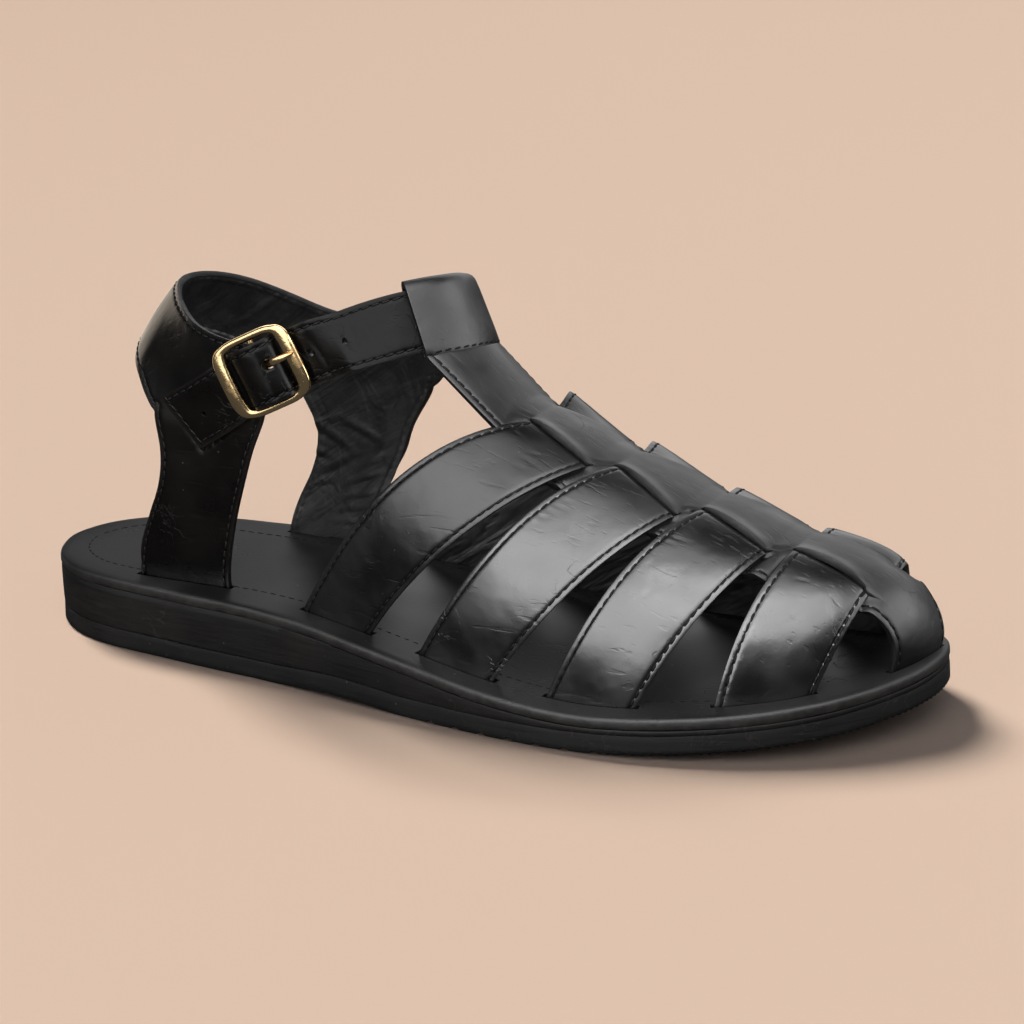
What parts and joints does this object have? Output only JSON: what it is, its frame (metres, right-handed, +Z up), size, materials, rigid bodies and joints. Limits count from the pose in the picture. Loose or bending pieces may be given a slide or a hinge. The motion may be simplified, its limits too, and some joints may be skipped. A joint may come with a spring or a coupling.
{
  "type": "fisherman sandal",
  "caption": "Right-foot fisherman sandal: cross straps woven through a vamp band to a closed toe, loop over a buckled ankle strap, heel quarter, padded footbed, wedge and rubber outsole.",
  "frame": {"origin": "on the floor under the middle of the shoe's box", "axes": "+X from heel to toe, +Y to the inner (medial) side of the right foot, +Z up"},
  "size_m": [0.2904, 0.103, 0.1202],
  "materials": {
    "outsole_rubber": "matte black moulded rubber",
    "wedge_rubber": "matte black fine-celled rubber",
    "footbed_leather": "dull black leather, stitched near the edge",
    "upper_leather": "semi-gloss black smooth leather with fine creases",
    "quarter_leather": "semi-gloss black smooth leather with fine creases",
    "buckle_metal": "worn polished brass",
    "thread": "waxed black sewing thread"
  },
  "bodies": {
    "root": {"outsole": "outsole_rubber", "wedge": "wedge_rubber", "footbed": "footbed_leather", "upper": "upper_leather", "quarter": "quarter_leather", "buckle_frame": "buckle_metal", "buckle_prong": "buckle_metal"}
  },
  "joints": []
}
